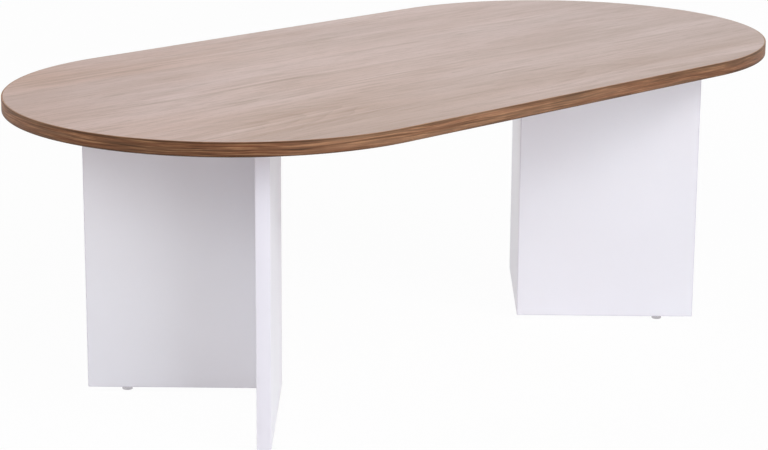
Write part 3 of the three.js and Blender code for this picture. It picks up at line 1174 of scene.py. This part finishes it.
@dataclass
class CamBolt(LegPiece):
    """A cam fitting's bolt: a coned head with a cross drive, a neck, a shank, a collar and a coarse thread.

    Places along the bolt are measured from the cam's centre, and the bolt points along the second direction.
    """

    slot: ClassVar[str] = "plated_steel"
    collar_end: float
    head_radius: float = 0.003
    head_tip: float = 0.00175
    head_start: float = 0.00255
    head_wide: float = 0.00375
    neck_radius: float = 0.0023
    neck_start: float = 0.00495
    neck_end: float = 0.00915
    shank_radius: float = 0.0033
    shank_start: float = 0.01015
    collar_radius: float = 0.0038
    collar_length: float = 0.0015
    collar_arris: float = 0.0003
    thread_radius: float = 0.0031
    thread_pitch: float = 0.0025
    thread_depth: float = 0.0009
    thread_taper: float = 0.0015
    tip: float = 0.0453
    drive_reach: float = 0.0016
    drive_half_width: float = 0.00035
    drive_depth: float = 0.0013
    bore_radius: float = 0.00325
    bore_end_gap: float = 0.0005
    overrun: float = 0.001
    segments: int = 40

    def shape(self) -> Piece:
        """The bolt: a profile up to the collar, then a thread whose crest tapers to the tip.

        Returns:
            The undressed bolt, with its drive cut.
        """
        collar_start = self.collar_end - self.collar_length
        smooth = np.array([
            [0, self.head_tip], [self.head_radius - self.head_start + self.head_tip, self.head_tip],
            [self.head_radius, self.head_start], [self.head_radius, self.head_wide],
            [self.neck_radius, self.neck_start], [self.neck_radius, self.neck_end],
            [self.shank_radius, self.shank_start], [self.shank_radius, collar_start],
            [self.collar_radius - self.collar_arris, collar_start],
            [self.collar_radius, collar_start + self.collar_arris],
            [self.collar_radius, self.collar_end - self.collar_arris],
            [self.collar_radius - self.collar_arris, self.collar_end],
        ])
        height = np.arange(self.collar_end, self.tip, self.thread_pitch / (2 * THREAD_ROWS))
        taper = np.maximum(height - self.tip + self.thread_taper, 0)
        thread = np.stack([self.thread_radius - taper, height], axis=1)
        profile = np.concatenate([smooth, thread, [[0, height[-1]]]])
        ripple = np.zeros((len(profile), self.segments))
        ripple[len(smooth):-1] = -screw_thread(height, self.thread_pitch, self.thread_depth, self.segments)
        piece = turned(self.name, profile, self.axes, self.segments, ripple)
        drill(piece, [self.drive_cutter()])
        return piece

    def drive_cutter(self) -> Piece:
        """A cross-shaped bar that sinks into the head: one arm's three corners, turned by quarter turns.

        Returns:
            The closed cutter.
        """
        arm = np.array([[self.drive_reach, -self.drive_half_width], [self.drive_reach, self.drive_half_width],
                        [self.drive_half_width, self.drive_half_width]])
        quarter_turn = np.array([[0, -1], [1, 0]])
        turns = [np.linalg.matrix_power(quarter_turn, count) for count in range(4)]
        outline = np.concatenate([arm @ turn.T for turn in turns])
        low, high = self.head_tip - self.overrun, self.head_tip + self.drive_depth
        return prism("drive_cutter", outline, low, high, self.axes)

    def bore_cutter(self) -> Piece:
        """A round bar as large as the bore that the bolt's thread is screwed into.

        Returns:
            The closed cutter.
        """
        low, high = self.collar_end - self.overrun, self.tip + self.bore_end_gap
        profile = np.array([[0, low], [self.bore_radius, low], [self.bore_radius, high], [0, high]])
        return turned("bore_cutter", profile, self.axes, self.segments)


@dataclass(frozen=True)
class CamDrum:
    """A cam's drum: its slotted wall grips the bolt's head, and a spiral pocket lies behind the wall.

    In its own frame the bolt lies along the third direction and the panel's face along the second. Turns are
    measured from the bolt towards the first direction.
    """

    radius: float = 0.00735
    low: float = -0.0038
    high: float = 0.0087
    arris: float = 0.0003
    hub_radius: float = 0.0014
    wall_at_lock: float = 0.0051
    wall_at_entry: float = 0.0061
    lock_turn: float = math.radians(-60)
    entry_turn: float = math.radians(150)
    head_space: float = 0.0033
    neck_space: float = 0.0026
    socket_radius: float = 0.0024
    socket_depth: float = 0.0025
    socket_sides: int = 6
    overrun: float = 0.001
    segments: int = 72
    own_frame: Axes = Axes(NOWHERE, (1.0, 0.0, 0.0), (0.0, 1.0, 0.0))

    def sector(self, outer: np.ndarray, low: float, high: float) -> Piece:
        """A ring sector from the hub out to a radius that may change on the way from lock to entry.

        Args:
            outer: the outer radius at even steps of the turn.
            low: where it starts along the second direction.
            high: where it ends.

        Returns:
            The closed cutter.
        """
        turn = np.linspace(self.lock_turn, self.entry_turn, len(outer))
        reach = np.concatenate([outer, np.full(len(outer), self.hub_radius)])
        turn = np.concatenate([turn, turn[::-1]])
        outline = np.stack([reach * np.sin(turn), reach * np.cos(turn)], axis=1)
        return prism("sector_cutter", outline, low, high, self.own_frame)

    def mouth(self) -> Piece:
        """A round bar at the wide end of the spiral, where the bolt's head enters.

        Returns:
            The closed cutter.
        """
        reach = self.radius + self.overrun
        profile = np.array([[0, 0], [self.head_space, 0], [self.head_space, reach], [0, reach]])
        way = (math.sin(self.entry_turn), 0.0, math.cos(self.entry_turn))
        side = (-math.cos(self.entry_turn), 0.0, math.sin(self.entry_turn))
        return turned("mouth_cutter", profile, Axes(NOWHERE, side, way, (0.0, 1.0, 0.0)), self.segments // 2)

    def mesh(self) -> bpy.types.Mesh:
        """The drum: a chamfered bar, less the pocket, the slot, the mouth and the drive socket.

        Returns:
            Its mesh in its own frame.
        """
        rim = self.radius - self.arris
        profile = np.array([[0, self.low], [rim, self.low], [self.radius, self.low + self.arris],
                            [self.radius, self.high - self.arris], [rim, self.high], [0, self.high]])
        drum = turned("cam_drum", profile, self.own_frame, self.segments)
        steps = self.segments // 2
        socket_turn = np.arange(self.socket_sides) * FULL_TURN / self.socket_sides
        socket = self.socket_radius * np.stack([np.cos(socket_turn), np.sin(socket_turn)], axis=1)
        wall = np.linspace(self.wall_at_lock, self.wall_at_entry, steps)
        drill(drum, [
            self.sector(wall, self.low - self.overrun, self.head_space),
            self.sector(np.full(steps, self.radius + self.overrun), -self.neck_space, self.neck_space),
            self.mouth(),
            prism("socket_cutter", socket, self.high - self.socket_depth, self.high + self.overrun,
                  self.own_frame),
        ])
        mesh = drum.data
        bpy.data.objects.remove(drum)
        return mesh


@dataclass
class Cam(LegPiece):
    """A cam in its place: a copy of the one drum."""

    slot: ClassVar[str] = "zinc_casting"
    drum: bpy.types.Mesh

    def shape(self) -> Piece:
        """The drum's copy, carried from its own frame to the piece's axes.

        Returns:
            The undressed cam.
        """
        mesh = self.drum.copy()
        mesh.name = self.name
        mesh.transform(self.axes.matrix())
        return scene_object(self.name, mesh)


@dataclass
class InsertNut(LegPiece):
    """The nut that a foot screws into: a tube with barbs round its outside and a thread in its bore."""

    slot: ClassVar[str] = "zinc_casting"
    low: float
    length: float = 0.013
    bore_radius: float = 0.00315
    crest_radius: float = 0.005
    barb_height: float = 0.0005
    barbs: int = 3
    thread_pitch: float = 0.001
    thread_depth: float = 0.0004
    segments: int = 48

    def shape(self) -> Piece:
        """The nut: up the barbs outside, then down the bore, whose thread is cut outwards.

        Returns:
            The undressed nut.
        """
        pitch = self.length / self.barbs
        barb = [[self.crest_radius, self.low], [self.crest_radius - self.barb_height, self.low + pitch]]
        outside = (np.arange(self.barbs)[:, None, None] * [[[0, pitch]]] + barb).reshape(-1, 2)
        height = np.arange(self.low + self.length, self.low, -self.thread_pitch / THREAD_ROWS)
        bore = np.stack([np.full_like(height, self.bore_radius), height], axis=1)
        profile = np.concatenate([outside, bore, [[self.bore_radius + self.thread_depth, self.low]]])
        ripple = np.zeros((len(profile), self.segments))
        flank = screw_thread(height, self.thread_pitch, self.thread_depth, self.segments)
        ripple[len(outside):-1] = self.thread_depth - flank
        return turned(self.name, profile, self.axes, self.segments, ripple, ring=True)


@dataclass
class Dowel(LegPiece):
    """A fluted beech dowel: straight grooves between rounded ridges, and chamfered ends."""

    slot: ClassVar[str] = "beech"
    length: float = 0.035
    radius: float = 0.004
    chamfer: float = 0.001
    flutes: int = 20
    flute_depth: float = 0.0003
    segments: int = 160

    def shape(self) -> Piece:
        """The dowel, whose grooves' depth at each angle is one less the sine of half the flutes' phase.

        Returns:
            The undressed dowel.
        """
        end = self.radius - self.chamfer
        profile = np.array([[0, 0], [end, 0], [self.radius, self.chamfer],
                            [self.radius, self.length - self.chamfer], [end, self.length], [0, self.length]])
        angle = np.arange(self.segments) * FULL_TURN / self.segments
        groove = self.flute_depth * (1 - np.abs(np.sin(self.flutes * angle / 2)))
        ripple = np.zeros((len(profile), self.segments))
        ripple[1:-1] = -groove
        return turned(self.name, profile, self.axes, self.segments, ripple)


class Panel(Enum):
    """A leg's panels: one runs through to the corner and the other butts against it."""

    THROUGH = "through"
    BUTT = "butt"


@dataclass
class Leg:
    """A V-shaped leg: a through panel, a butt panel, their edging, fittings and feet."""

    name: str
    corner: tuple[float, float]
    turn: float
    panel_bottom: float
    panel_top: float
    arm_length: float = 0.256
    thickness: float = 0.018
    joint_gap: float = 0.0003
    foot_from_end: float = 0.051
    cam_from_edge: float = 0.034
    top_fitting_from_end: float = 0.05
    corner_fitting_from_end: float = 0.09
    dowel_from_end: float = 0.13
    dowel_depth_in_face: float = 0.012

    def axes(self, panel: Panel, along: float = 0.0, across: float = 0.0, up: float = 0.0) -> Axes:
        """A panel's directions, from the leg's corner or from a place on the panel.

        Args:
            panel: which of the two panels.
            along: the place's distance from the leg's corner.
            across: its distance from the panel's outer face.
            up: its height above the floor.

        Returns:
            The axes: along the panel, across it towards its inner face, and up.
        """
        first = (math.cos(self.turn), math.sin(self.turn), 0.0)
        second = (-math.sin(self.turn), math.cos(self.turn), 0.0)
        along_way, across_way = (first, second) if panel is Panel.THROUGH else (second, first)
        return Axes((*self.corner, 0.0), along_way, across_way).moved(along, across, up)

    @property
    def butt_start(self) -> float:
        """Where the butt panel starts, measured from the leg's corner."""
        return self.thickness + self.joint_gap

    def fittings(self) -> dict[str, Axes]:
        """Each cam fitting's place: its cam's centre, with the panel's inner face along the second direction.

        The bolt points along the third: up into the top, or from the butt panel into the through panel. The
        first is the cross product of the other two.

        Returns:
            The fittings' axes by their names.
        """
        under_top = self.panel_top - self.cam_from_edge
        outer = self.arm_length - self.top_fitting_from_end
        beside_joint = self.butt_start + self.cam_from_edge
        places = {
            "through_inner": (Panel.THROUGH, self.top_fitting_from_end, under_top),
            "through_outer": (Panel.THROUGH, outer, under_top),
            "butt_inner": (Panel.BUTT, self.butt_start + self.top_fitting_from_end, under_top),
            "butt_outer": (Panel.BUTT, outer, under_top),
            "corner_lower": (Panel.BUTT, beside_joint, self.panel_bottom + self.corner_fitting_from_end),
            "corner_upper": (Panel.BUTT, beside_joint, self.panel_top - self.corner_fitting_from_end),
        }
        found = {}
        for fitting, (panel, along, height) in places.items():
            place = self.axes(panel, along, self.thickness / 2, height)
            bolt_way = tuple(-np.array(place.along)) if fitting.startswith("corner") else UPWARDS
            side_way = tuple(np.cross(place.across, bolt_way))
            found[fitting] = Axes(place.origin, side_way, place.across, bolt_way)
        return found

    def bolts(self) -> dict[str, CamBolt]:
        """The fittings' bolts, each of which points along its fitting's third direction.

        Returns:
            The bolts by the fittings' names.
        """
        return {fitting: CamBolt(f"{self.name}_{fitting}_threaded_bolt", f"{self.name}_{fitting}_bolt",
                                 place.swapped(), self.cam_from_edge)
                for fitting, place in self.fittings().items()}

    def bores_in_top(self) -> list[Piece]:
        """Solids in the places of the bores that this leg's bolts need in the top."""
        in_top = [bolt for fitting, bolt in self.bolts().items() if not fitting.startswith("corner")]
        return [bolt.bore_cutter() for bolt in in_top]

    def build(self, finishes: Materials, drum: bpy.types.Mesh) -> None:
        """Make the leg's edging, fittings, dowels and feet, and dress its panels.

        Args:
            finishes: the legs' materials by the names of their slots.
            drum: a cam's drum in its own frame.
        """
        for panel in Panel:
            self.build_panel(panel, finishes)
        for fitting, place in self.fittings().items():
            label = f"{self.name}_{fitting}"
            CamCap(f"{label}_cover", f"{label}_cap", place.moved(across=self.thickness / 2)).build(finishes)
            Cam(f"{label}_cam_drum", f"{label}_cam", place, drum).build(finishes)
        for bolt in self.bolts().values():
            bolt.build(finishes)
        dowel_heights = {"lower": self.panel_bottom + self.dowel_from_end,
                         "upper": self.panel_top - self.dowel_from_end}
        for level, height in dowel_heights.items():
            start = self.axes(Panel.THROUGH, self.thickness / 2, self.thickness - self.dowel_depth_in_face,
                              height)
            Dowel(f"{self.name}_{level}_fluted_dowel", f"{self.name}_{level}_dowel", start).build(finishes)

    def build_panel(self, panel: Panel, finishes: Materials) -> None:
        """Make a panel's edging, foot and insert nut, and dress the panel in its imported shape.

        Args:
            panel: which of the two panels.
            finishes: the legs' materials by the names of their slots.
        """
        label = f"{self.name}_{panel.value}"
        foot_along = self.arm_length - self.foot_from_end
        start = self.butt_start if panel is Panel.BUTT else 0.0
        PanelEdging(f"{label}_strip", f"{label}_edging", self.axes(panel), self.arm_length, self.panel_bottom,
                    self.panel_top, self.thickness, start, foot_along).build(finishes)
        upright = self.axes(panel, foot_along, self.thickness / 2).swapped()
        Foot(f"{label}_levelling_foot", f"{label}_foot", upright).build(finishes)
        InsertNut(f"{label}_insert_nut", f"{label}_insert", upright,
                  self.panel_bottom + self.joint_gap).build(finishes)
        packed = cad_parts[f"{label}_panel"]
        packed.data.materials.clear()
        packed.data.materials.append(finishes["white_board"])
        log.info("%s keeps its packed shape, in white_board", packed.name)


# The studio

@dataclass(frozen=True)
class Viewpoint:
    """The photograph's camera: where it stands, how it is turned, and its focal length in pixels."""

    place: Triple = (-2.24406, -2.23704, 1.01438)
    yaw: float = math.radians(44.539)
    pitch: float = math.radians(14.714)
    roll: float = math.radians(0.379)
    focal_pixels: float = 2376.72
    image_width: float = 768
    sensor_width: float = 36
    sight: float = 100

    def build(self) -> None:
        """Make the scene's camera."""
        level_reach = math.cos(self.pitch)
        forward = Vector((math.sin(self.yaw) * level_reach, math.cos(self.yaw) * level_reach,
                          -math.sin(self.pitch)))
        level = Vector((math.cos(self.yaw), -math.sin(self.yaw), 0))
        upright = level.cross(forward)
        right = level * math.cos(self.roll) + upright * math.sin(self.roll)
        up = upright * math.cos(self.roll) - level * math.sin(self.roll)
        data = bpy.data.cameras.new("camera")
        data.sensor_width = self.sensor_width
        data.lens = self.focal_pixels * self.sensor_width / self.image_width
        data.clip_end = self.sight
        camera = scene_object("camera", data)
        turn = Matrix((right, up, -forward)).transposed()
        camera.matrix_world = Matrix.Translation(self.place) @ turn.to_4x4()
        bpy.context.scene.camera = camera


@dataclass(frozen=True)
class Softbox:
    """A broad square lamp aimed at the table. The camera doesn't see it, and gloss only if it is glossy."""

    name: str
    place: Triple
    power: float
    tint: Triple = (1.0, 1.0, 1.0)
    size: float = 2.6
    glossy: bool = False
    aim: Triple = (0.0, 0.0, 0.25)

    def build(self) -> None:
        """Make the lamp."""
        data = bpy.data.lights.new(self.name, "AREA")
        data.energy = self.power
        data.color = self.tint
        data.size = self.size
        lamp = scene_object(self.name, data)
        lamp.location = self.place
        lamp.rotation_mode = "QUATERNION"
        lamp.rotation_quaternion = (Vector(self.aim) - Vector(self.place)).to_track_quat("-Z", "Y")
        lamp.visible_camera = False
        lamp.visible_glossy = self.glossy


@dataclass(frozen=True)
class Studio:
    """A white sweep: the floor, the surrounding white and the softboxes round the table."""

    sky: float = 0.04
    floor_half: float = 12
    floor_tone: Tone = (250, 250, 252)
    floor_whiteness: float = 0.96
    softboxes: tuple[Softbox, ...] = (
        Softbox("front", (-0.6, -5.4, 2.12), 183, (0.90, 0.95, 1.0), size=3.9),
        Softbox("front_high", (1.2, -4.5, 3.78), 84, (1.0, 0.95, 0.91), size=2.1),
        Softbox("left", (-3.2, -2.2, 1.8), 20, size=1.4),
        Softbox("left_high", (-3.4, -0.6, 2.4), 31, (1.0, 0.98, 0.93), size=1.6),
        Softbox("back", (-2.4, 2.8, 1.6), 42),
        Softbox("far_side", (0.6, 3.6, 1.4), 15, size=1.6),
        Softbox("right_back", (3.0, 2.2, 2.2), 15, glossy=True),
        Softbox("right_end", (3.2, 0.2, 0.9), 24, size=1.6),
    )

    def seen_directly(self, recipe: Recipe) -> Socket:
        """1 for rays that show the backdrop, straight or by gloss or glass, and 0 for light that bounces.

        Args:
            recipe: the shader that asks.

        Returns:
            The value's socket.
        """
        path = recipe.node("ShaderNodeLightPath")
        shown = recipe.math("MAXIMUM", path.outputs["Is Camera Ray"], path.outputs["Is Glossy Ray"])
        return recipe.math("MAXIMUM", shown, path.outputs["Is Transmission Ray"])

    def floor(self) -> None:
        """Lay a broad pale floor that looks white and keeps some of the table's shadow."""
        steps = np.array([-1, 0, 1]) * self.floor_half
        x, y = np.meshgrid(steps, steps)
        plane = surface_object("floor", np.stack([x, y, np.zeros_like(x)], axis=-1))
        recipe = Recipe(bpy.data.materials.new("white_sweep"))
        matt = recipe.node("ShaderNodeBsdfDiffuse", {"Color": self.floor_tone})
        white = recipe.node("ShaderNodeEmission", {"Color": WHITE, "Strength": 1.0})
        share = recipe.times(self.seen_directly(recipe), self.floor_whiteness)
        blend = recipe.node("ShaderNodeMixShader", {0: share, 1: matt.outputs[0], 2: white.outputs[0]})
        recipe.node("ShaderNodeOutputMaterial", {"Surface": blend.outputs[0]})
        plane.data.materials.append(recipe.owner)

    def surroundings(self) -> None:
        """Make the world white where it is seen, and a soft even light elsewhere."""
        world = bpy.data.worlds.new("white")
        bpy.context.scene.world = world
        recipe = Recipe(world)
        strength = recipe.ramp(self.seen_directly(recipe), Ramp(0.0, 1.0, self.sky, 1.0))
        background = recipe.node("ShaderNodeBackground", {"Color": WHITE, "Strength": strength})
        recipe.node("ShaderNodeOutputWorld", {"Surface": background.outputs[0]})

    def build(self) -> None:
        """Make the floor, the surroundings and the lamps, and keep colours as they are written."""
        self.floor()
        self.surroundings()
        for softbox in self.softboxes:
            softbox.build()
        bpy.context.scene.view_settings.view_transform = "Standard"


def main() -> None:
    """Build the table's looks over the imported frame, then the studio and the camera."""
    logging.basicConfig(level=logging.INFO, format="%(name)s: %(message)s")
    finishes = {finish.name: finish.material() for finish in LEG_FINISHES}
    panel_low, panel_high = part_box("left_leg_through_edging")
    legs = [Leg("left_leg", (-CORNER_FROM_MIDDLE, 0.0), math.pi - SPLAY, panel_low.z, panel_high.z),
            Leg("right_leg", (CORNER_FROM_MIDDLE, 0.0), -SPLAY, panel_low.z, panel_high.z)]
    drum = CamDrum().mesh()
    for leg in legs:
        leg.build(finishes, drum)
    bpy.data.meshes.remove(drum)
    low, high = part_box("top_edge_band")
    top = Top(half_length=high.x, half_width=high.y, low=low.z, high=high.z)
    top.build([bore for leg in legs for bore in leg.bores_in_top()])
    Studio().build()
    Viewpoint().build()


if __name__ == "__main__":
    main()
